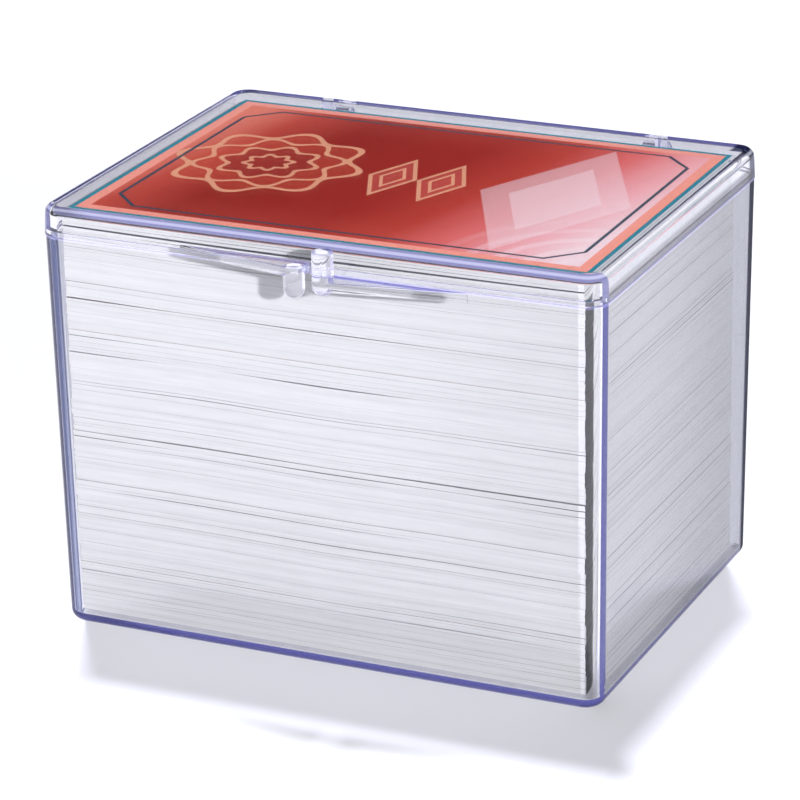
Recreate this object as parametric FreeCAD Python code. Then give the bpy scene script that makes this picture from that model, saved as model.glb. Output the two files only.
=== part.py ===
import FreeCAD, Part
import math
import os

# Hinged card storage case: a clear moulded tray with a shallow clear lid, filled with a stack of
# trading cards. Millimetres. The origin is the centre of the flat underside, +Z is up, the latch
# is on the -Y side and the hinge on the +Y side.

# Cards
card_length = 88.9
card_width = 63.5
card_thickness = 0.43
card_air = 0.026
card_count = 150
cards_per_pack = 5

# How loosely the cards lie: the lean of the whole stack and the scatter of packs and cards
stack_lean_low = -0.65
stack_lean_high = -0.85
pack_scatter_x = 0.2
pack_scatter_y = 0.45
card_scatter_x = 0.1
card_scatter_y = 0.15
top_card_shift_x = 0.05
top_card_shift_y = -0.15

# Case walls, measured at the floor, where the draft makes the case narrowest
wall = 1.5
floor_thickness = 1.5
panel_thickness = 1.5
end_clearance = 1.16
side_clearance = 1.86
stack_headroom = 0.58
draft_inset = 0.75
corner_radius = 3.4
floor_edge_radius = 1.9
inner_floor_radius = 0.3

# Lid and the lapped seam between lid and tray
lid_height = 4.9
lid_overhang = 0.12
lid_draft = 0.23
lid_edge_radius = 1.25
seam_gap = 0.1
lap_height = 0.8
lap_thickness = 0.65
lap_clearance = 0.15

# Latch: two tapering fins on the front, one on the lid and one on the tray, each ending in a knob
latch_shift = 0.6
lid_fin_reach = 23.1
tray_fin_reach = 25.6
fin_thickness = 1.6
fin_edge_radius = 0.3
fin_setback = 0.05
knob_radius = 1.7
knob_spacing = 4.9
knob_standoff = 2.0
lid_knob_drop = 3.7
tray_knob_rise = 4.5
tray_knob_drop = 1.0
knob_top_radius = 0.4
knob_tip_flat = 0.2

# Hinge: pins on the lid's ears turn in bored lugs on the tray
hinge_offset = 28.2
hinge_standoff = 1.9
hinge_side_gap = 0.2
lug_thickness = 2.4
lug_wall_gap = 0.2
lug_gusset = 6.0
ear_thickness = 2.0
ear_wall_gap = 0.27
ear_stop_radius = 0.45
pin_radius = 1.0
pin_clearance = 0.05

# How far a joined feature is sunk into the wall that carries it
root = 0.8

# Sizes that follow from the ones above
card_pitch = card_thickness + card_air
stack_floor = floor_thickness + card_air
stack_top = stack_floor + card_count * card_pitch
panel_underside = stack_top + stack_headroom
case_height = panel_underside + panel_thickness
lid_bottom = case_height - lid_height
tray_top = lid_bottom - seam_gap
lap_top = tray_top + lap_height

floor_half_x = card_length / 2 + end_clearance
floor_half_y = card_width / 2 + side_clearance
draft_slope = draft_inset / tray_top
rim_half_x = floor_half_x + wall + draft_inset
rim_half_y = floor_half_y + wall + draft_inset
lid_half_x = rim_half_x + lid_overhang
lid_half_y = rim_half_y + lid_overhang

knob_y = -lid_half_y - knob_standoff
hinge_y = lid_half_y + hinge_standoff
hinge_z = lid_bottom - seam_gap / 2
lug_radius = hinge_standoff - lug_wall_gap
ear_reach = hinge_standoff - ear_wall_gap
ear_rise = lid_height - lid_edge_radius


def drafted_block(low, high, radius):
    """Block whose half sizes (x, y) at height z change evenly from low to high, with round corners."""
    x1, y1, z1 = low
    x2, y2, z2 = high
    block = Part.makeWedge(-x1, z1, -y1, -y2, -x2, x1, z2, y1, y2, x2)
    block.rotate(FreeCAD.Vector(0, 0, 0), FreeCAD.Vector(1, 0, 0), 90)
    upright = [e for e in block.Edges if e.BoundBox.ZLength > (z2 - z1) / 2]
    return block.makeFillet(radius, upright)


def edges_at(shape, z):
    """Edges of a shape that lie flat at one height."""
    def level(box):
        return abs(box.ZMin - z) < 1e-4 and abs(box.ZMax - z) < 1e-4

    return [e for e in shape.Edges if level(e.BoundBox)]


def prism(edges, thickness):
    """Solid raised upwards from a closed outline of edges in a level plane."""
    return Part.Face(Part.Wire(edges)).extrude(FreeCAD.Vector(0, 0, thickness))


def side_plate(edges, thickness, x):
    """Plate of constant thickness in x, from a closed outline of edges at x = 0."""
    plate = Part.Face(Part.Wire(edges)).extrude(FreeCAD.Vector(thickness, 0, 0))
    plate.translate(FreeCAD.Vector(x, 0, 0))
    return plate


def mirrored(shape):
    """The same feature on the other side of the case."""
    return shape.mirror(FreeCAD.Vector(0, 0, 0), FreeCAD.Vector(1, 0, 0))


def latch_fin(reach, z):
    """Thin shelf on the left of the front that grows out of the wall and ends round the knob."""
    wall_y = -lid_half_y
    inside_y = wall_y + root
    knob_x = -knob_spacing / 2
    to_knob = math.hypot(knob_x + reach, knob_y - wall_y)
    slant = math.atan2(knob_y - wall_y, knob_x + reach) - math.asin(knob_radius / to_knob)
    touch_x = knob_x + knob_radius * math.sin(slant)
    touch_y = knob_y - knob_radius * math.cos(slant)
    half_way = slant / 2 - math.pi / 4
    round_x = knob_x + knob_radius * math.cos(half_way)
    round_y = knob_y + knob_radius * math.sin(half_way)
    tip = FreeCAD.Vector(-reach, wall_y, z)
    touch = FreeCAD.Vector(touch_x, touch_y, z)
    round_end = FreeCAD.Vector(round_x, round_y, z)
    side = FreeCAD.Vector(knob_x + knob_radius, knob_y, z)
    inner = FreeCAD.Vector(knob_x + knob_radius, inside_y, z)
    outer = FreeCAD.Vector(-reach, inside_y, z)
    edges = [
        Part.LineSegment(tip, touch).toShape(),
        Part.Arc(touch, round_end, side).toShape(),
        Part.LineSegment(side, inner).toShape(),
        Part.LineSegment(inner, outer).toShape(),
        Part.LineSegment(outer, tip).toShape(),
    ]
    fin = prism(edges, fin_thickness)
    rim = [e for e in fin.Edges if e.BoundBox.YMin < knob_y + 1e-4 and e.BoundBox.ZLength < 1e-4]
    return fin.makeFillet(fin_edge_radius, rim)


def to_latch(shape):
    """A latch feature moved from the middle of the front to where the latch sits."""
    return shape.translated(FreeCAD.Vector(latch_shift, 0, 0))


def latch_knob(low, high):
    """Upright round knob at the end of the left fin, flat on top and domed below."""
    place = FreeCAD.Vector(-knob_spacing / 2, knob_y, low)
    knob = Part.makeCylinder(knob_radius, high - low, place)
    knob = knob.makeFillet(knob_top_radius, edges_at(knob, high))
    return knob.makeFillet(knob_radius - knob_tip_flat, edges_at(knob, low))


def hinge_outline_point(y, z):
    """Point of a hinge profile, measured from the hinge axis."""
    return FreeCAD.Vector(0, hinge_y + y, hinge_z + z)


def quarter_arc(centre_y, centre_z, radius, start):
    """Quarter turn, counted in degrees from +Y towards +Z, with its two end points."""
    points = []
    for angle in (start, start + 45, start + 90):
        turn = math.radians(angle)
        y = centre_y + radius * math.cos(turn)
        z = centre_z + radius * math.sin(turn)
        points.append(hinge_outline_point(y, z))
    return Part.Arc(*points).toShape(), points[0], points[2]


def tray_lug():
    """Right-hand lug of the tray: a boss round the hinge axis with a gusset down the back wall."""
    start_x = hinge_offset - lug_thickness / 2
    middle = FreeCAD.Vector(start_x, hinge_y, hinge_z)
    boss = Part.makeCylinder(lug_radius, lug_thickness, middle, FreeCAD.Vector(1, 0, 0))
    into_wall = rim_half_y - root - hinge_y
    below_seam = tray_top - seam_gap - hinge_z
    slope = lug_radius * math.sqrt(0.5)
    corners = [
        hinge_outline_point(into_wall, below_seam),
        hinge_outline_point(0, below_seam),
        hinge_outline_point(slope, -slope),
        hinge_outline_point(into_wall, -lug_gusset),
    ]
    edges = [Part.LineSegment(a, b).toShape() for a, b in zip(corners, corners[1:] + corners[:1])]
    return boss.fuse(side_plate(edges, lug_thickness, start_x))


def tray_lug_bore():
    """Hole through the right-hand lug."""
    start = FreeCAD.Vector(hinge_offset - lug_thickness, hinge_y, hinge_z)
    bore_radius = pin_radius + pin_clearance
    return Part.makeCylinder(bore_radius, 2 * lug_thickness, start, FreeCAD.Vector(1, 0, 0))


def lid_ear():
    """Right-hand ear of the lid with its inward pin. The ear's square heel stops the open lid."""
    start_x = hinge_offset + lug_thickness / 2 + hinge_side_gap
    heel_centre = ear_reach - ear_stop_radius
    toe, toe_start, toe_end = quarter_arc(0, 0, ear_reach, 180)
    heel, heel_start, heel_end = quarter_arc(heel_centre, -heel_centre, ear_stop_radius, 270)
    seam = lid_bottom - hinge_z
    into_wall = -hinge_standoff - root
    path = [
        heel_end,
        hinge_outline_point(ear_reach, seam),
        hinge_outline_point(into_wall + root, ear_rise),
        hinge_outline_point(into_wall, ear_rise),
        hinge_outline_point(into_wall, seam),
        hinge_outline_point(-ear_reach, seam),
        toe_start,
    ]
    edges = [Part.LineSegment(a, b).toShape() for a, b in zip(path, path[1:])]
    edges += [toe, Part.LineSegment(toe_end, heel_start).toShape(), heel]
    ear = side_plate(edges, ear_thickness, start_x)
    pin_reach = lug_thickness + hinge_side_gap
    pin_start = FreeCAD.Vector(start_x - pin_reach, hinge_y, hinge_z)
    pin_length = pin_reach + ear_thickness / 2
    pin = Part.makeCylinder(pin_radius, pin_length, pin_start, FreeCAD.Vector(1, 0, 0))
    return ear.fuse(pin)


def make_tray():
    """Lower moulding: drafted tray with the inner lip of the seam, right latch fin and hinge lugs."""
    foot = (rim_half_x - draft_inset, rim_half_y - draft_inset, 0)
    tray = drafted_block(foot, (rim_half_x, rim_half_y, tray_top), corner_radius)
    tray = tray.makeFillet(floor_edge_radius, edges_at(tray, 0))
    inner_radius = corner_radius - wall
    lip_x = rim_half_x - wall + lap_thickness
    lip_y = rim_half_y - wall + lap_thickness
    lip_low = tray_top - root
    lip = drafted_block((lip_x, lip_y, lip_low), (lip_x, lip_y, lap_top), inner_radius + lap_thickness)
    tray = tray.fuse(lip)
    for lug in (tray_lug(), mirrored(tray_lug())):
        tray = tray.fuse(lug)
    fin_low = tray_top - fin_setback - fin_thickness
    tray = tray.fuse(to_latch(mirrored(latch_fin(tray_fin_reach, fin_low))))
    knob_low = fin_low - tray_knob_drop
    tray = tray.fuse(to_latch(mirrored(latch_knob(knob_low, tray_top + tray_knob_rise))))
    above = lap_top + 1
    low_inset = draft_slope * (tray_top - floor_thickness)
    high_spread = draft_slope * (above - tray_top)
    low = (rim_half_x - wall - low_inset, rim_half_y - wall - low_inset, floor_thickness)
    high = (rim_half_x - wall + high_spread, rim_half_y - wall + high_spread, above)
    hollow = drafted_block(low, high, inner_radius)
    tray = tray.cut(hollow.makeFillet(inner_floor_radius, edges_at(hollow, floor_thickness)))
    for bore in (tray_lug_bore(), mirrored(tray_lug_bore())):
        tray = tray.cut(bore)
    return tray.removeSplitter()


def make_lid():
    """Upper moulding: shallow lid with the rebate of the seam, left latch fin and hinge ears."""
    top_x = lid_half_x - lid_draft
    top_y = lid_half_y - lid_draft
    lid = drafted_block((lid_half_x, lid_half_y, lid_bottom), (top_x, top_y, case_height), corner_radius)
    lid = lid.makeFillet(lid_edge_radius, edges_at(lid, case_height))
    fin_low = lid_bottom + fin_setback
    lid = lid.fuse(to_latch(latch_fin(lid_fin_reach, fin_low)))
    lid = lid.fuse(to_latch(latch_knob(lid_bottom - lid_knob_drop, fin_low + fin_thickness)))
    for ear in (lid_ear(), mirrored(lid_ear())):
        lid = lid.fuse(ear)
    inner_radius = corner_radius - wall
    below = lid_bottom - 1
    inside_x = top_x - wall
    inside_y = top_y - wall
    mouth = (inside_x, inside_y, below)
    hollow = drafted_block(mouth, (inside_x, inside_y, panel_underside), inner_radius)
    hollow = hollow.makeFillet(inner_floor_radius, edges_at(hollow, panel_underside))
    rebate_x = rim_half_x - wall + lap_thickness + lap_clearance
    rebate_y = rim_half_y - wall + lap_thickness + lap_clearance
    rebate_top = lap_top + lap_clearance
    rebate_radius = inner_radius + lap_thickness + lap_clearance
    rebate = drafted_block((rebate_x, rebate_y, below), (rebate_x, rebate_y, rebate_top), rebate_radius)
    return lid.cut(hollow.fuse(rebate)).removeSplitter()


def card_place(index):
    """Shift of one card in x and y: the stack's lean, its pack's scatter and its own."""
    pack = index // cards_per_pack
    lean = stack_lean_low + (stack_lean_high - stack_lean_low) * index / (card_count - 1)
    x = lean + pack_scatter_x * math.sin(2.4 * pack + 1) + card_scatter_x * math.sin(5.1 * index)
    y = pack_scatter_y * math.sin(4.0 * pack + 2) + card_scatter_y * math.sin(3.3 * index + 1)
    return x, y


def make_card(index, shift):
    """One card lying flat at its level in the stack."""
    low = stack_floor + index * card_pitch
    corner = FreeCAD.Vector(shift[0] - card_length / 2, shift[1] - card_width / 2, low)
    return Part.makeBox(card_length, card_width, card_thickness, corner)


def write(name, shape):
    shape.exportStep("parts/" + name + ".step")


os.makedirs("parts", exist_ok=True)
write("case_tray", make_tray())
write("case_lid", make_lid())

top_index = card_count - 1
write("top_card", make_card(top_index, (top_card_shift_x, top_card_shift_y)))

for first in range(0, top_index, cards_per_pack):
    levels = range(first, min(first + cards_per_pack, top_index))
    pack = Part.makeCompound([make_card(i, card_place(i)) for i in levels])
    write("card_pack_%02d" % (first // cards_per_pack + 1), pack)

print("case", 2 * lid_half_x, "by", 2 * lid_half_y, "by", case_height, "mm")
print("seam at", lid_bottom, "hinge axis at y", hinge_y, "z", hinge_z)
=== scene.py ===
import math
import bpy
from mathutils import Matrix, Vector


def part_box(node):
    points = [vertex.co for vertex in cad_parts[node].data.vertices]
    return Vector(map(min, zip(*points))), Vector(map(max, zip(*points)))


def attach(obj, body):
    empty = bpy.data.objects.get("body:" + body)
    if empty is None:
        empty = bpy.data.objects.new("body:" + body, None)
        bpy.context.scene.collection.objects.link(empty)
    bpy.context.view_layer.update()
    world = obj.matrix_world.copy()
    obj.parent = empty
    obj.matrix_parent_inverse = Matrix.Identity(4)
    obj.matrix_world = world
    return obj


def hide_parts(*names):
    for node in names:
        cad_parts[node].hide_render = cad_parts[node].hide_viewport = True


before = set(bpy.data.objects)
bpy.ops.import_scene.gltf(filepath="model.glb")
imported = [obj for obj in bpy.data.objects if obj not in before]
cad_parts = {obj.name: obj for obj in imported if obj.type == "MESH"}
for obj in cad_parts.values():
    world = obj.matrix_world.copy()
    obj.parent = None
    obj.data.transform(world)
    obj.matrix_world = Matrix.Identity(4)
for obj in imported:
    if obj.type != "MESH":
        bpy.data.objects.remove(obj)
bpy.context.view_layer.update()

from types import SimpleNamespace

import bpy
from mathutils import Matrix, Vector

# A clear hinged storage case full of trading cards. Lengths below are millimetres unless a name says
# otherwise, and MM turns them into Blender's metres. The origin is the centre of the underside.
MM = 0.001

# Camera, as the photograph shows the case
CAMERA_AZIMUTH = math.radians(24.576)
CAMERA_ELEVATION = math.radians(21.072)
CAMERA_ROLL = math.radians(-1.0835)
CAMERA_DISTANCE = 634.77
CAMERA_TARGET = Vector((-1.017, -1.519, 33.513))
CAMERA_LENS = 173.634
CAMERA_SENSOR = 36.0
CLIP_METRES = (0.01, 20.0)

# Light: a small white key from the right of the camera, a soft fill from its left, and a sun high behind
# the case that throws the shadow forward on the floor and leaves no glints. A travel is the way the light
# goes. Soft light, reflections and mirror images each see the white room at a strength of their own.
KEY_TRAVEL = Vector((-5.9, 5.6, -2.6))
KEY_STRENGTH = 2.9
KEY_DEGREES = 3.0
BACK_TRAVEL = Vector((12.2, -22.4, -72.0))
BACK_STRENGTH = 3.65
BACK_DEGREES = 4.0
FILL_PLACE = Vector((-420.0, -560.0, 260.0))
FILL_TARGET = Vector((0.0, 0.0, 36.0))
FILL_SIZE = 380.0
FILL_POWER = 0.4
SKY_STRENGTH = 0.13
GLOSS_SKY_STRENGTH = 0.03
MIRROR_STRENGTH = 0.2
HORIZON = (0.30, 0.04)
BOUNCES = 32

# The floor, as it looks at first hand and in the case's reflections
FLOOR_HALF_METRES = 3.0
FLOOR_DROP = 0.05
FLOOR_COLOUR = (0.5, 0.505, 0.54)
FLOOR_GLOW = (0.37, 0.37, 0.395)
MIRRORED_FLOOR_COLOUR = (0.42, 0.42, 0.46)
MIRRORED_FLOOR_GLOW = (0.29, 0.29, 0.31)

# The stack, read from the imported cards
PACKS = sorted(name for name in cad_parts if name.startswith("card_pack_"))
STACK_LOW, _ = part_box(PACKS[0])
TOP_CARD_LOW, TOP_CARD_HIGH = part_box("top_card")
CARD_LENGTH = TOP_CARD_HIGH.x - TOP_CARD_LOW.x
CARD_WIDTH = TOP_CARD_HIGH.y - TOP_CARD_LOW.y
CARD_HALF_U = CARD_LENGTH / MM / 2
CARD_HALF_V = CARD_WIDTH / MM / 2
CARD_COUNT = 149
CARD_PITCH = (TOP_CARD_LOW.z - STACK_LOW.z) / CARD_COUNT
CARD_THICKNESS = 0.449

# Card gaps: where the stack opens a little, so that a dark line shows between two cards. The stack
# bends smoothly above each gap: every gap has its own height at each of these columns.
GAP_COLUMNS = (-1.0, -0.5, 0.0, 0.5, 1.0)
GAP_SEED = 42
GAP_DRAW_ABOVE = 0.84
GAP_RARITY = 2.6
TOP_GAP_BELOW_TOP = 3

# Sag: it grows over some cards near the top of the stack and fades out again in the last few
SAG_BELOW_TOP = 39
SAG_GROWS_OVER = 35.0
SAG_FADES_OVER = 4.0

# Cards that were put in together stand out of line together
CARDS_TOGETHER = 6.3

# The plastic: what a long path through it leaves of white light, painted glow for light caught in its
# walls, its own tint, painted shade at its edges, and the films that lamps meet in place of the walls
BLACK = (0.0, 0.0, 0.0)
WHITE = (1.0, 1.0, 1.0)
WALL_TINT = {"Color": (0.42, 0.42, 0.80, 1.0), "Density": 22.0}
PLASTIC_IOR = 1.59
TRAY_PAINTED_GLOW = (0.037, 0.037, 0.108)
LID_PAINTED_GLOW = (0.094, 0.094, 0.160)
RIM_PAINTED_HIGHLIGHT = (0.30, 0.30, 0.33)
SEAM_PAINTED_GLOW = (0.13, 0.12, 0.27)
KNOB_PAINTED_LIGHT = (0.20, 0.20, 0.22)
CLEAR_TINT = (0.985, 0.985, 1.0)
RIGHT_FRONT_PAINTED_SHADE = (0.46, 0.47, 0.49)
RIGHT_BACK_PAINTED_SHADE = (0.18, 0.19, 0.21)
BACK_RIGHT_PAINTED_SHADE = (0.008, 0.010, 0.030)
LEFT_PAINTED_SHADE = (0.040, 0.046, 0.120)
LEFT_FRONT_PAINTED_SHADE = (0.11, 0.13, 0.26)
CLEAR_FILM = (0.97, 0.97, 0.985)
CORNER_FILM = (0.16, 0.16, 0.18)
LATCH_FILM = (0.05, 0.05, 0.055)

# Places on the case: where a look starts and where it is whole, along the axis that ends the name
LID_Z = (66.0, 68.0)
RIM_Z = (69.5, 70.5)
UNDER_RIM_Z = (70.0, 69.0)
TRAY_Z = (67.0, 66.7)
LEFT_WALL_X = (-44.2, -45.0)
LEFT_FRONT_Y = (-31.8, -32.6)
RIGHT_WALL_X = (43.0, 45.0)
RIGHT_WALL_Y = (-30.0, 30.0)
BACK_RIGHT_X = (43.8, 44.6)
BACK_RIGHT_Y = (30.5, 31.1)
LATCH_Y = (-36.05, -36.2)
KNOB_Y = (-37.2, -37.5)
SEAM_Y = (37.0, 36.5)
SEAM_HEIGHT = 67.06
SEAM_HALF_LINE = 0.24
SEAM_SOFTNESS = 0.12

# The front right corner shades a band of the key's light, counted across its way
CORNER_X = (44.5, 45.0)
CORNER_Z = (66.9, 66.2)
CORNER_BAND = {"centre": 72.0, "half_width": 13.0, "softness": 2.0}

# A card's faces look up or down by more than its edges do
FACES = (0.5, 0.7)

# Card edges: painted light makes them paler up the stack, and painted shade duller to the right of its
# front
PAINTED_LIGHT_Z = (0.0, 60.0)
PAINTED_SHADE_X = (5.0, 40.0)
PAINTED_SHADE_Z = (12.0, 30.0)
PAINTED_SHADE = 0.09
# A painted shadow of the front right corner on the cards beside it
CORNER_PAINTED_SHADOW_Y = (-26.4, -27.4)
CORNER_PAINTED_SHADOW_Z = (66.6, 66.2)
CORNER_PAINTED_SHADOW = 0.80
# A painted highlight: a white line at the right end of the stack's front
PAINTED_HIGHLIGHT_X = (42.7, 43.0)
STOCK_WHITE = (0.975, 0.98, 0.955)
PRINT_EDGE_WHITE = (0.97, 0.975, 1.0)
PAPER_IOR = 1.3
INKS = (
    (0.00, (0.45, 0.45, 0.48)),
    (0.50, (0.28, 0.27, 0.27)),
    (0.66, (0.13, 0.11, 0.09)),
    (0.76, (0.040, 0.036, 0.030)),
    (0.85, (0.25, 0.11, 0.12)),
    (0.92, (0.05, 0.05, 0.06)),
    (1.00, (0.08, 0.10, 0.20)),
)

# The printed card, in millimetres from its middle: u to the right, v to the back
FIELD_COLOURS = (
    (0.00, (0.80, 0.220, 0.150)),
    (0.10, (0.52, 0.060, 0.035)),
    (0.24, (0.30, 0.014, 0.004)),
    (0.52, (0.35, 0.016, 0.006)),
    (0.66, (0.50, 0.045, 0.025)),
    (0.78, (0.78, 0.160, 0.150)),
    (0.90, (0.95, 0.470, 0.490)),
    (1.00, (1.00, 0.800, 0.820)),
)
WARM_RED = (0.90, 0.20, 0.13)
PALE_LOZENGE = (1.0, 0.86, 0.88)
PALE_LOZENGE_U = 26.0
PALE_LOZENGE_HALF = (13.0, 27.0)
PALE_RIPPLE = (1.0, 0.84, 0.87)
RIPPLE_PITCH = 4.6
RIPPLES_FADE = (31.0, 12.0)
ROSETTE_U = -25.0
ROSETTE_V = 1.0
PETALS = 8.0
ROSETTE_RIM = (14.6, 1.5)
ROSETTE_RINGS = ((11.4, -1.2), (7.6, 0.9), (3.6, -0.5))
ROSETTE_HEART = ROSETTE_RINGS[1]
ROSETTE_RED = (0.62, 0.08, 0.04)
HEART_RED = (0.25, 0.010, 0.006)
CHAIN_START_U = -7.0
CHAIN_PITCH = 8.6
CHAIN_SLOPE = 0.42
CHAIN_EXTENT = {"centre": 1.6, "half_width": 8.5, "softness": 0.1}
CHAIN_LINES = ((3.9, 0.30, 0.14), (2.0, 0.24, 0.12))
CHAIN_RED = (0.70, 0.13, 0.10)
OUTLINE_TAN = (0.86, 0.42, 0.24)
BEVEL_CUT = 7.5
BEVEL_ACROSS = 0.7071
SALMON = (0.98, 0.36, 0.27)
LINE_INK = (0.02, 0.06, 0.09)
TEAL = (0.0, 0.24, 0.32)


class Wire:
    """An output socket of a node tree. Arithmetic on wires adds Math nodes to their tree."""

    def __init__(self, socket):
        self.socket = socket
        self.tree = socket.id_data

    def node(self, kind, settings=None, inputs=None, output=0):
        """Adds any node: settings first, then the values or links of its sockets."""
        made = self.tree.nodes.new(kind)
        for name, value in (settings or {}).items():
            setattr(made, name, value)
        for name, value in (inputs or {}).items():
            if isinstance(value, Wire):
                self.tree.links.new(value.socket, made.inputs[name])
            else:
                made.inputs[name].default_value = value
        return Wire(made.outputs[output])

    def math(self, operation, *others):
        inputs = dict(enumerate((self,) + others))
        return self.node("ShaderNodeMath", {"operation": operation}, inputs)

    def __add__(self, other):
        return self.math("ADD", other)

    def __radd__(self, other):
        return self.math("ADD", other)

    def __sub__(self, other):
        return self.math("SUBTRACT", other)

    def __rsub__(self, other):
        return self.node("ShaderNodeMath", {"operation": "SUBTRACT"}, {0: other, 1: self})

    def __mul__(self, other):
        return self.math("MULTIPLY", other)

    def __rmul__(self, other):
        return self.math("MULTIPLY", other)

    def __truediv__(self, other):
        return self.math("DIVIDE", other)

    def __pow__(self, other):
        return self.math("POWER", other)

    def __abs__(self):
        return self.math("ABSOLUTE")

    def step(self, low, high):
        """0 below low, 1 above high and smooth between them; low may be the larger of the two."""
        inputs = {"Value": self, "From Min": low, "From Max": high}
        return self.node("ShaderNodeMapRange", {"interpolation_type": "SMOOTHSTEP"}, inputs)

    def fade(self, span):
        """A step between two places given in millimetres."""
        return self.step(span[0] * MM, span[1] * MM)

    def near(self, centre, half_width, softness):
        """1 within half_width of centre, fading to 0 over softness."""
        return abs(self - centre).step(half_width + softness, half_width)

    def axes(self):
        """The three parts of a vector."""
        first = self.node("ShaderNodeSeparateXYZ", inputs={0: self})
        return tuple(Wire(socket) for socket in first.socket.node.outputs)

    def noise(self, scale, detail=2.0, roughness=0.5, stretch=(1, 1, 1)):
        """Noise from 0 to 1 with scale features per metre, stretched along the axes."""
        place = self.node("ShaderNodeMapping", inputs={"Vector": self, "Scale": stretch})
        inputs = {"Vector": place, "Scale": scale, "Detail": detail, "Roughness": roughness}
        return place.node("ShaderNodeTexNoise", inputs=inputs)

    def ramp(self, stops):
        """Turns a value from 0 to 1 into colours, each given with its position."""
        colour = self.node("ShaderNodeValToRGB", inputs={"Fac": self})
        elements = colour.socket.node.color_ramp.elements
        while len(elements) < len(stops):
            elements.new(1.0)
        for element, (position, rgb) in zip(elements, stops):
            element.position = position
            element.color = (*rgb, 1.0)
        return colour

    def bump(self, strength, depth):
        """A surface direction that follows this height, depth millimetres from 0 to 1."""
        inputs = {"Strength": strength, "Distance": depth * MM, "Height": self}
        return self.node("ShaderNodeBump", inputs=inputs)

    def rays(self):
        """What is known of the light ray that meets the surface, by name."""
        path = self.node("ShaderNodeLightPath")
        return {socket.name: Wire(socket) for socket in path.socket.node.outputs}

    def surface_axes(self):
        """The three parts of the direction that the surface faces."""
        return self.node("ShaderNodeNewGeometry", output="Normal").axes()

    def slant(self, low, high):
        """0 where the surface is seen head-on and 1 where it is seen at a slant."""
        facing = self.node("ShaderNodeLayerWeight", inputs={"Blend": 0.5}, output="Facing")
        return facing.step(low, high)


def as_input(colour):
    """A colour as a socket takes it: a wire as it is, a plain RGB colour with its alpha."""
    return colour if isinstance(colour, Wire) else (*colour, 1.0)


def blended(share, first, second):
    """A Mix node for colours: first where share is 0, second where it is 1."""
    inputs = {0: share, 6: as_input(first), 7: as_input(second)}
    return share.node("ShaderNodeMix", {"data_type": "RGBA"}, inputs, output=2)


def mixed(share, first, second):
    """A Mix Shader node: first where share is 0, second where it is 1."""
    return share.node("ShaderNodeMixShader", inputs={0: share, 1: first, 2: second})


def film(place, colour):
    """A surface that tints what passes it and bends nothing."""
    return place.node("ShaderNodeBsdfTransparent", inputs={"Color": as_input(colour)})


def new_surface(name):
    """A material with its Principled node, and a wire that carries Object coordinates."""
    material = bpy.data.materials.new(name)
    material.use_nodes = True
    shader = material.node_tree.nodes["Principled BSDF"]
    start = Wire(shader.outputs[0])
    return material, shader, start.node("ShaderNodeTexCoord", output="Object")


def connect(node, **wires):
    """Links wires to a node's sockets; an underscore in a name stands for a space."""
    for name, wire in wires.items():
        socket = node.inputs[name.replace("_", " ")]
        socket.id_data.links.new(wire.socket, socket)


def set_values(node, **values):
    """Sets a node's sockets; an underscore in a name stands for a space."""
    for name, value in values.items():
        node.inputs[name.replace("_", " ")].default_value = value


def plastic_places(place):
    """The wires that the looks of the plastic share: axes, rays, and masks of places on the case."""
    at = SimpleNamespace()
    at.x, at.y, at.z = place.axes()
    at.rays = place.rays()
    at.seen = at.rays["Is Camera Ray"]
    at.slant = place.slant(0.42, 0.60)
    at.tray = at.z.fade(TRAY_Z)
    at.left = at.x.fade(LEFT_WALL_X)
    at.back_right = at.x.fade(BACK_RIGHT_X) * at.y.fade(BACK_RIGHT_Y)
    return at


def plastic_painted_glow(place, at):
    """Painted glow for light caught between the faces of a wall, with painted highlights at the rim, the
    seam and the knobs.
    """
    # Painted glow: emission on rays reflected within the walls, in place of light caught there
    wall = blended(at.z.fade(LID_Z), TRAY_PAINTED_GLOW, LID_PAINTED_GLOW)
    dim = (0.8 * at.back_right).math("MAXIMUM", 0.4 * at.left)
    caught = at.rays["Is Reflection Ray"] * at.rays["Ray Depth"].math("GREATER_THAN", 2.5)
    painted_glow = blended(caught * (1 - dim), BLACK, wall)
    _, _, up = place.surface_axes()
    # Painted highlight along the lid's rounded top edge, for the camera only
    rim = up.near(0.72, 0.06, 0.16) * at.z.fade(RIM_Z)
    painted_glow = blended(rim * at.seen, painted_glow, RIM_PAINTED_HIGHLIGHT)
    # Painted glow line along the seam, for the camera only
    seam = at.z.near(SEAM_HEIGHT * MM, SEAM_HALF_LINE * MM, SEAM_SOFTNESS * MM) * at.y.fade(SEAM_Y)
    painted_glow = blended(seam * at.seen, painted_glow, SEAM_PAINTED_GLOW)
    # Painted light on the knobs, for the camera only
    return blended(at.y.fade(KNOB_Y) * at.seen, painted_glow, KNOB_PAINTED_LIGHT)


def plastic_tint_and_painted_shade(at):
    """A faint clear tint, with painted shade at edges seen at a slant, and at the left front seen head-on.
    """
    # Painted shade for edges seen at a slant; CLEAR_TINT is the plastic's own faint tint
    right = at.x.fade(RIGHT_WALL_X) * at.z.fade(UNDER_RIM_Z)
    right_painted_shade = blended(at.y.fade(RIGHT_WALL_Y), RIGHT_FRONT_PAINTED_SHADE, RIGHT_BACK_PAINTED_SHADE)
    tint_and_painted_shade = blended(at.slant * right, CLEAR_TINT, right_painted_shade)
    tint_and_painted_shade = blended(at.slant * at.back_right, tint_and_painted_shade, BACK_RIGHT_PAINTED_SHADE)
    left = at.tray * at.left
    tint_and_painted_shade = blended(at.slant * left, tint_and_painted_shade, LEFT_PAINTED_SHADE)
    # Painted shade at the left front, where it is seen head-on
    return blended(left * at.y.fade(LEFT_FRONT_Y) * (1 - at.slant), tint_and_painted_shade, LEFT_FRONT_PAINTED_SHADE)


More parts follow.
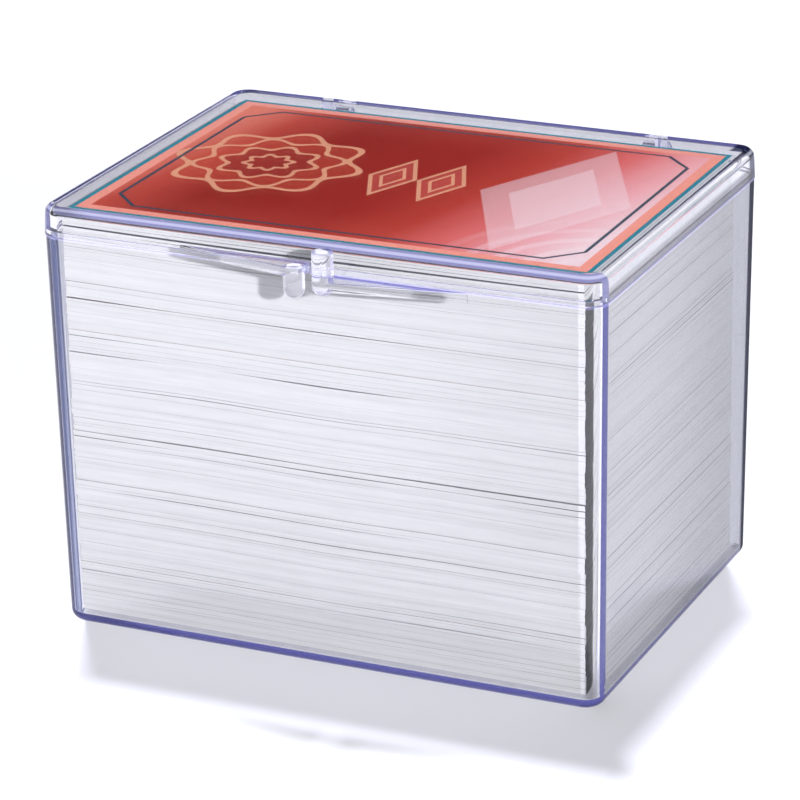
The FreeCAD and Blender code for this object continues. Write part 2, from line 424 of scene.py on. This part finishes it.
def lamp_film(place, at):
    """The film that light meets in place of the walls, and the rays for which it takes their place.

    Lamps reach what is inside through it. Round corners and the thick latch bend light away, so there the
    film is dark and leaves a shadow. At the back right edge the camera sees the dark film too, as painted
    shade.
    """
    across_key = (KEY_TRAVEL.y * at.x - KEY_TRAVEL.x * at.y) / MM
    corner = across_key.near(**CORNER_BAND) * at.x.fade(CORNER_X) * at.z.fade(CORNER_Z)
    latch = at.y.fade(LATCH_Y)
    # Painted shade: where the back right edge is seen at a slant, the camera sees the dark film
    edge_on_painted_shade = at.tray * at.slant * at.back_right * at.seen
    dark = corner.math("MAXIMUM", latch).math("MAXIMUM", edge_on_painted_shade)
    shade = film(place, blended(latch, CORNER_FILM, LATCH_FILM))
    passed = mixed(dark, film(place, CLEAR_FILM), shade)
    through = at.rays["Is Shadow Ray"].math("MAXIMUM", at.rays["Is Diffuse Ray"])
    return passed, through.math("MAXIMUM", 0.8 * edge_on_painted_shade)


def clear_plastic():
    """Clear polystyrene: colourless across a wall, lilac to indigo along it, with fine handling marks,
    painted glow and painted shade.
    """
    material, shader, place = new_surface("clear_plastic")
    material.cycles.emission_sampling = "NONE"
    rub = place.noise(220, 3.0, 0.6, (0.25, 1.0, 1.6))
    scuff = place.noise(1500, 2.0, 0.5, (1.0, 0.12, 0.4))
    marks = (scuff * rub).step(0.34, 0.42)
    wave = place.noise(45, 1.0, 0.4)
    at = plastic_places(place)
    connect(
        shader,
        Base_Color=plastic_tint_and_painted_shade(at),
        Roughness=0.012 + 0.05 * marks,
        Normal=wave.bump(0.05, 0.02),
        Emission_Color=plastic_painted_glow(place, at),
    )
    set_values(shader, IOR=PLASTIC_IOR, Transmission_Weight=1.0, Emission_Strength=1.0)
    passed, through = lamp_film(place, at)
    connect(
        material.node_tree.nodes["Material Output"],
        Surface=mixed(through, Wire(shader.outputs[0]), passed),
        Volume=place.node("ShaderNodeVolumeAbsorption", inputs=WALL_TINT),
    )
    return material


def card_stock():
    """Cards seen from the side: off-white cut edges with fibre streaks, painted light and shade, and dark
    printed faces.
    """
    material, shader, place = new_surface("card_stock")
    tone_draw = place.node("ShaderNodeAttribute", {"attribute_name": "card_tone"}, output="Fac")
    ink_draw = place.node("ShaderNodeAttribute", {"attribute_name": "card_hue"}, output="Fac")
    grain = place.noise(1100, 3.0, 0.65, (0.12, 0.12, 1.5))
    blotch = place.noise(55, 2.0, 0.5, (0.4, 0.4, 2.5))
    x, y, z = place.axes()
    side, _, up = place.surface_axes()
    front = side.step(0.7, 0.5)
    # Random tone, grain and blotches, plus painted light that makes the edges paler up the stack
    tone = 0.665 + 0.06 * tone_draw + 0.16 * grain + 0.06 * blotch + 0.08 * z.fade(PAINTED_LIGHT_Z)
    # Painted shade: the front is duller towards its right
    tone = tone * (1 - PAINTED_SHADE * (x.fade(PAINTED_SHADE_X) * z.fade(PAINTED_SHADE_Z) * front))
    # Painted shadow of the front right corner on the cards' right ends, seen at a slant
    dark = side.step(0.5, 0.7) * y.fade(CORNER_PAINTED_SHADOW_Y) * z.fade(CORNER_PAINTED_SHADOW_Z) * place.slant(0.30, 0.50)
    edge = blended(tone * (1 - CORNER_PAINTED_SHADOW * dark), BLACK, STOCK_WHITE)
    # Painted highlight: a white line along the right end of the front
    edge = blended(x.fade(PAINTED_HIGHLIGHT_X) * front, edge, WHITE)
    connect(shader, Base_Color=blended(abs(up).step(*FACES), edge, ink_draw.ramp(INKS)))
    set_values(shader, Roughness=0.8, IOR=PAPER_IOR)
    return material


def card_field(place, u, v, inset):
    """Dark red to pale pink, warmer towards the border, with a tall pale lozenge over the fade.

    Ripples spread from the front right corner.
    """
    drift = (u - 0.22 * v) / CARD_HALF_U
    field = (drift * 0.5 + 0.5).ramp(FIELD_COLOURS)
    warm = (inset + 2.5 * place.noise(70, 1.0, 0.5)).step(17.0, 2.5)
    field = blended(warm * 0.10, field, WARM_RED)
    half_u, half_v = PALE_LOZENGE_HALF
    facet = abs(u - PALE_LOZENGE_U) / half_u + abs(v) / half_v
    for size in (0.98, 0.60):
        field = blended(facet.near(0.0, size, 0.02) * 0.34, field, PALE_LOZENGE)
    reach = ((u - CARD_HALF_U) ** 2 + (v + CARD_HALF_V) ** 2).math("SQRT")
    ripple = (reach / RIPPLE_PITCH).math("FRACT").near(0.5, 0.16, 0.05) * reach.step(*RIPPLES_FADE)
    return blended(ripple * 0.4, field, PALE_RIPPLE)


def rosette(field, u, v):
    """The field with scalloped rings on the left, and the mask of their outlines."""
    p = u - ROSETTE_U
    q = v - ROSETTE_V
    distance = (p * p + q * q).math("SQRT")
    petals = (q.math("ARCTAN2", p) * PETALS).math("COSINE")

    def ring(radius, depth):
        return distance - radius - depth * petals

    rim = ring(*ROSETTE_RIM)
    outline = rim.near(0.0, 0.52, 0.16)
    for radius, depth in ROSETTE_RINGS:
        outline = outline.math("MAXIMUM", ring(radius, depth).near(0.0, 0.42, 0.14))
    field = blended(rim.step(0.2, -0.2) * 0.35, field, ROSETTE_RED)
    field = blended(ring(*ROSETTE_HEART).step(0.2, -0.2) * 0.5, field, HEART_RED)
    return field, outline


def lozenge_chain(field, outline, u, v):
    """Nested lozenges in a chain beside the rosette. All outlines so far are drawn in tan."""
    link = (u - CHAIN_START_U) / CHAIN_PITCH
    cell = abs(link.math("FRACT") - 0.5) * CHAIN_PITCH
    lozenge = cell + CHAIN_SLOPE * abs(v - ROSETTE_V)
    along = u.near(**CHAIN_EXTENT)
    for line in CHAIN_LINES:
        outline = outline.math("MAXIMUM", lozenge.near(*line) * along)
    field = blended(lozenge.step(3.9, 3.6) * along * 0.4, field, CHAIN_RED)
    return blended(outline * 0.85, field, OUTLINE_TAN), outline


def card_border(field, u, v, inset):
    """The field in its salmon border, with a frame line of bevelled corners and a dark teal edge."""
    bevel = (CARD_HALF_U + CARD_HALF_V - BEVEL_CUT - abs(u) - abs(v)) * BEVEL_ACROSS
    field = blended(inset.step(2.75, 2.6), field, SALMON)
    field = blended(inset.math("MINIMUM", bevel).near(4.4, 0.26, 0.1), field, LINE_INK)
    return blended(inset.near(0.0, 0.75, 0.1), field, TEAL)


def card_print():
    """The top card: a warm red field in a salmon border, with a rosette, a lozenge chain and ripples."""
    material, shader, place = new_surface("card_print")
    centre = (TOP_CARD_LOW + TOP_CARD_HIGH) / 2
    x, y, _ = place.axes()
    u = (x - centre.x) / MM
    v = (y - centre.y) / MM
    inset = (CARD_HALF_U - abs(u)).math("MINIMUM", CARD_HALF_V - abs(v))
    field, outline = rosette(card_field(place, u, v, inset), u, v)
    field, outline = lozenge_chain(field, outline, u, v)
    field = card_border(field, u, v, inset)
    grain = place.noise(1100, 3.0, 0.65, (0.07, 0.07, 1.5))
    edge = blended(0.84 + 0.1 * grain, BLACK, PRINT_EDGE_WHITE)
    tooth = place.noise(2600, 2.0, 0.6)
    _, _, up = place.surface_axes()
    connect(
        shader,
        Base_Color=blended(abs(up).step(*FACES), edge, field),
        Roughness=0.42 + 0.12 * tooth - 0.1 * outline,
        Normal=outline.bump(0.4, 0.03),
    )
    set_values(shader, IOR=PAPER_IOR, Specular_IOR_Level=0.05)
    return material


def dress(name, material):
    """Gives a CAD node its material."""
    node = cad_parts[name]
    node.data.materials.clear()
    node.data.materials.append(material)
    return node


def add_input(tree, name, value, kind="NodeSocketFloat"):
    """A value that a node tree takes, with its default."""
    socket = tree.interface.new_socket(name, in_out="INPUT", socket_type=kind)
    socket.default_value = value


def smoothing_tree():
    """Geometry nodes that weld loose triangles and share normals over edges flatter than the limit."""
    tree = bpy.data.node_groups.new("round_corners", "GeometryNodeTree")
    tree.interface.new_socket("Geometry", in_out="INPUT", socket_type="NodeSocketGeometry")
    add_input(tree, "Limit", math.radians(35))
    tree.interface.new_socket("Geometry", in_out="OUTPUT", socket_type="NodeSocketGeometry")
    entry = tree.nodes.new("NodeGroupInput")
    start = Wire(entry.outputs["Geometry"])
    welded = start.node("GeometryNodeMergeByDistance", inputs={"Geometry": start, "Distance": 1e-6})
    smooth = welded.node("GeometryNodeSetShadeSmooth", {"domain": "FACE"}, {"Geometry": welded})
    angle = smooth.node("GeometryNodeInputMeshEdgeAngle")
    flat = angle.math("LESS_THAN", Wire(entry.outputs["Limit"]))
    inputs = {"Geometry": smooth, "Shade Smooth": flat}
    shaded = smooth.node("GeometryNodeSetShadeSmooth", {"domain": "EDGE"}, inputs)
    connect(tree.nodes.new("NodeGroupOutput"), Geometry=shaded)
    return tree


def build_case():
    plastic = clear_plastic()
    tree = smoothing_tree()
    for name in ("case_tray", "case_lid"):
        node = dress(name, plastic)
        round_corners = node.modifiers.new("round_corners", "NODES")
        round_corners.node_group = tree
        flat_walls = node.modifiers.new("flat_walls", "WEIGHTED_NORMAL")
        flat_walls.keep_sharp = True
        flat_walls.weight = 100


def stack_tree(material):
    """Geometry nodes for the stack: one card on every point of a line, shifted and bent by its gaps."""
    tree = bpy.data.node_groups.new("card_stack", "GeometryNodeTree")
    sizes = {
        "Length": CARD_LENGTH,
        "Width": CARD_WIDTH,
        "Thickness": CARD_THICKNESS * MM,
        "Pitch": CARD_PITCH,
        "Floor": STACK_LOW.z,
        "Lean low": -0.65 * MM,
        "Lean high": -0.85 * MM,
        "Scatter x": 0.05 * MM,
        "Scatter y": 0.05 * MM,
        "Gap": 0.34 * MM,
        "Top gap": 0.36 * MM,
        "Sag": 0.3 * MM,
    }
    for name, size in sizes.items():
        add_input(tree, name, size)
    add_input(tree, "Count", CARD_COUNT, "NodeSocketInt")
    add_input(tree, "Seed", GAP_SEED, "NodeSocketInt")
    tree.interface.new_socket("Geometry", in_out="OUTPUT", socket_type="NodeSocketGeometry")
    entry = tree.nodes.new("NodeGroupInput")
    given = {socket.name: Wire(socket) for socket in entry.outputs if socket.name}
    start = given["Length"]

    def vector(x, y, z):
        return start.node("ShaderNodeCombineXYZ", inputs={0: x, 1: y, 2: z})

    def random(low, high, offset):
        inputs = {2: low, 3: high, "ID": index, "Seed": given["Seed"] + offset}
        return start.node("FunctionNodeRandomValue", {"data_type": "FLOAT"}, inputs, output=1)

    def store(geometry, name, value):
        inputs = {"Geometry": geometry, "Name": name, "Value": value}
        return start.node("GeometryNodeStoreNamedAttribute", inputs=inputs)

    def stored(name):
        return start.node("GeometryNodeInputNamedAttribute", inputs={"Name": name})

    # One point for each card, with how far the gaps lift it at every column, at the front and the back
    index = start.node("GeometryNodeInputIndex")
    share = index / given["Count"]
    step = vector(0.0, 0.0, given["Pitch"])
    first = vector(0.0, 0.0, given["Floor"] + given["Thickness"] / 2)
    inputs = {"Count": given["Count"], "Start Location": first, "Offset": step}
    cards = start.node("GeometryNodeMeshLine", inputs=inputs)
    opened = random(0.0, 1.0, 1).math("GREATER_THAN", GAP_DRAW_ABOVE)
    height = opened * random(0.0, 1.0, 2) ** GAP_RARITY * given["Gap"]
    top_gap = index.math("COMPARE", given["Count"] - TOP_GAP_BELOW_TOP, 0.4) * given["Top gap"]
    for column in range(len(GAP_COLUMNS)):
        for side in (0, 1):
            part = height * random(-0.3, 1.0, 10 + 2 * column + side).math("MAXIMUM", 0.0)
            part = part + top_gap * random(0.6, 1.0, 30 + 2 * column + side)
            running = start.node("GeometryNodeAccumulateField", inputs={0: part})
            total = Wire(running.socket.node.outputs["Total"])
            cards = store(cards, "rise_%d_%d" % (column, side), running - share * total)
    cards = store(cards, "card_tone", random(0.0, 1.0, 3))
    cards = store(cards, "card_hue", random(0.0, 1.0, 6))
    rising = (index - (given["Count"] - SAG_BELOW_TOP)) / SAG_GROWS_OVER
    falling = (given["Count"] - index) / SAG_FADES_OVER
    cards = store(cards, "card_sag", rising.math("MINIMUM", falling).math("MAXIMUM", 0.0))

    # A card on each point, a little out of line
    card = start.node(
        "GeometryNodeMeshCube",
        inputs={
            "Size": vector(given["Length"], given["Width"], given["Thickness"]),
            "Vertices X": 17,
            "Vertices Y": 11,
            "Vertices Z": 2,
        },
    )
    inputs = {"Points": cards, "Instance": card}
    placed = start.node("GeometryNodeInstanceOnPoints", inputs=inputs)
    pack = (index / CARDS_TOGETHER).math("FLOOR")
    lean = given["Lean low"] + share * (given["Lean high"] - given["Lean low"])
    sideways = vector(
        lean + given["Scatter x"] * (random(-1.0, 1.0, 4) + 1.4 * (2.4 * pack + 1).math("SINE")),
        given["Scatter y"] * (random(-1.0, 1.0, 5) + 2.2 * (4.0 * pack + 2).math("SINE")),
        0.0,
    )
    placed = start.node("GeometryNodeTranslateInstances", inputs={0: placed, "Translation": sideways})
    loose = start.node("GeometryNodeRealizeInstances", inputs={"Geometry": placed})

    # Bend each card to its lift between the columns
    x, y, _ = start.node("GeometryNodeInputPosition").axes()
    along = x / (given["Length"] / 2)
    back = (y / given["Width"] + 0.5).step(0.0, 1.0)
    rise = None
    for column, centre in enumerate(GAP_COLUMNS):
        weight = along.near(centre, 0.0, 0.5)
        for side, depth in ((0, 1 - back), (1, back)):
            term = stored("rise_%d_%d" % (column, side)) * weight * depth
            rise = term if rise is None else rise + term
    bow = 1 - along * along
    rise = rise - stored("card_sag") * bow * given["Sag"]
    inputs = {"Geometry": loose, "Offset": vector(0.0, 0.0, rise)}
    bent = start.node("GeometryNodeSetPosition", inputs=inputs)
    inputs = {"Geometry": bent, "Material": material}
    finished = start.node("GeometryNodeSetMaterial", inputs=inputs)
    connect(tree.nodes.new("NodeGroupOutput"), Geometry=finished)
    return tree


def plain_mesh(name, tree):
    """The result of a geometry node tree as an object with a plain mesh and no modifier."""
    holder = bpy.data.objects.new(name + "_tree", bpy.data.meshes.new(name + "_tree"))
    bpy.context.scene.collection.objects.link(holder)
    holder.modifiers.new("nodes", "NODES").node_group = tree
    graph = bpy.context.evaluated_depsgraph_get()
    mesh = bpy.data.meshes.new_from_object(holder.evaluated_get(graph), depsgraph=graph)
    bpy.data.objects.remove(holder)
    mesh.name = name
    piece = bpy.data.objects.new(name, mesh)
    bpy.context.scene.collection.objects.link(piece)
    return piece


def build_cards():
    stack = plain_mesh("card_stack", stack_tree(card_stock()))
    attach(stack, "tray")
    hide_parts(*PACKS)
    dress("top_card", card_print())


def place_lamp(lamp, travel):
    """Adds a lamp that shines along travel."""
    holder = bpy.data.objects.new(lamp.name, lamp)
    holder.rotation_mode = "QUATERNION"
    holder.rotation_quaternion = travel.to_track_quat("-Z", "Y")
    bpy.context.scene.collection.objects.link(holder)
    return holder


def sun(name, travel, strength, degrees):
    lamp = bpy.data.lights.new(name, "SUN")
    lamp.energy = strength
    lamp.angle = math.radians(degrees)
    return place_lamp(lamp, travel)


def build_light():
    sun("key", KEY_TRAVEL, KEY_STRENGTH, KEY_DEGREES)
    high_back = sun("high_back", BACK_TRAVEL, BACK_STRENGTH, BACK_DEGREES)
    high_back.visible_glossy = False
    high_back.visible_transmission = False
    panel = bpy.data.lights.new("fill", "AREA")
    panel.size = FILL_SIZE * MM
    panel.energy = FILL_POWER
    fill = place_lamp(panel, FILL_TARGET - FILL_PLACE)
    fill.location = FILL_PLACE * MM


def build_room():
    """A white room: dim for soft light, bright at the horizon for reflections, dimmer in mirror images."""
    world = bpy.data.worlds.new("white_room")
    bpy.context.scene.world = world
    world.use_nodes = True
    backdrop = world.node_tree.nodes["Background"]
    start = Wire(backdrop.outputs[0])
    rays = start.rays()
    seen = rays["Is Camera Ray"]
    sharp = seen.math("MAXIMUM", rays["Is Glossy Ray"]).math("MAXIMUM", rays["Is Transmission Ray"])
    _, _, height = start.node("ShaderNodeTexCoord", output="Generated").axes()
    level = height.step(*HORIZON) * (1 - GLOSS_SKY_STRENGTH) + GLOSS_SKY_STRENGTH
    sent = seen.math("MAXIMUM", rays["Is Transmission Ray"])
    mirrored = seen.math("MAXIMUM", level * (sent * (1 - MIRROR_STRENGTH) + MIRROR_STRENGTH))
    connect(backdrop, Strength=sharp * mirrored + (1 - sharp) * SKY_STRENGTH)
    set_values(backdrop, Color=(*WHITE, 1.0))


def build_floor():
    """A plain white floor: it glows just enough to be white where it is lit, and keeps the shadow."""
    half = FLOOR_HALF_METRES
    mesh = bpy.data.meshes.new("floor")
    corners = [(-half, -half, 0), (half, -half, 0), (half, half, 0), (-half, half, 0)]
    mesh.from_pydata(corners, [], [(0, 1, 2, 3)])
    floor = bpy.data.objects.new("floor", mesh)
    floor.location.z = -FLOOR_DROP * MM
    bpy.context.scene.collection.objects.link(floor)
    material, shader, place = new_surface("white_floor")
    rays = place.rays()
    sent = rays["Is Transmission Ray"]
    mirrored = rays["Is Glossy Ray"] * (1 - sent)
    glimmer = blended(mirrored, BLACK, MIRRORED_FLOOR_GLOW)
    connect(
        shader,
        Base_Color=blended(mirrored, FLOOR_COLOUR, MIRRORED_FLOOR_COLOUR),
        Emission_Color=blended(rays["Is Camera Ray"].math("MAXIMUM", sent), glimmer, FLOOR_GLOW),
    )
    set_values(shader, Roughness=0.9, Specular_IOR_Level=0.0, Emission_Strength=1.0)
    mesh.materials.append(material)


def build_camera():
    lens = bpy.data.cameras.new("camera")
    lens.lens = CAMERA_LENS
    lens.sensor_width = CAMERA_SENSOR
    lens.clip_start, lens.clip_end = CLIP_METRES
    camera = bpy.data.objects.new("camera", lens)
    level = math.cos(CAMERA_ELEVATION)
    back = Vector((
        math.sin(CAMERA_AZIMUTH) * level,
        -math.cos(CAMERA_AZIMUTH) * level,
        math.sin(CAMERA_ELEVATION),
    ))
    right = Vector((0, 0, 1)).cross(back).normalized()
    up = back.cross(right)
    rolled_right = right * math.cos(CAMERA_ROLL) + up * math.sin(CAMERA_ROLL)
    rolled_up = up * math.cos(CAMERA_ROLL) - right * math.sin(CAMERA_ROLL)
    turn = Matrix((rolled_right, rolled_up, back)).transposed().to_4x4()
    place = (CAMERA_TARGET + back * CAMERA_DISTANCE) * MM
    camera.matrix_world = Matrix.Translation(place) @ turn
    bpy.context.scene.collection.objects.link(camera)
    bpy.context.scene.camera = camera


scene = bpy.context.scene
scene.view_settings.view_transform = "Standard"
scene.cycles.max_bounces = BOUNCES
scene.cycles.transmission_bounces = BOUNCES
scene.cycles.transparent_max_bounces = BOUNCES

build_case()
build_cards()
build_light()
build_room()
build_floor()
build_camera()
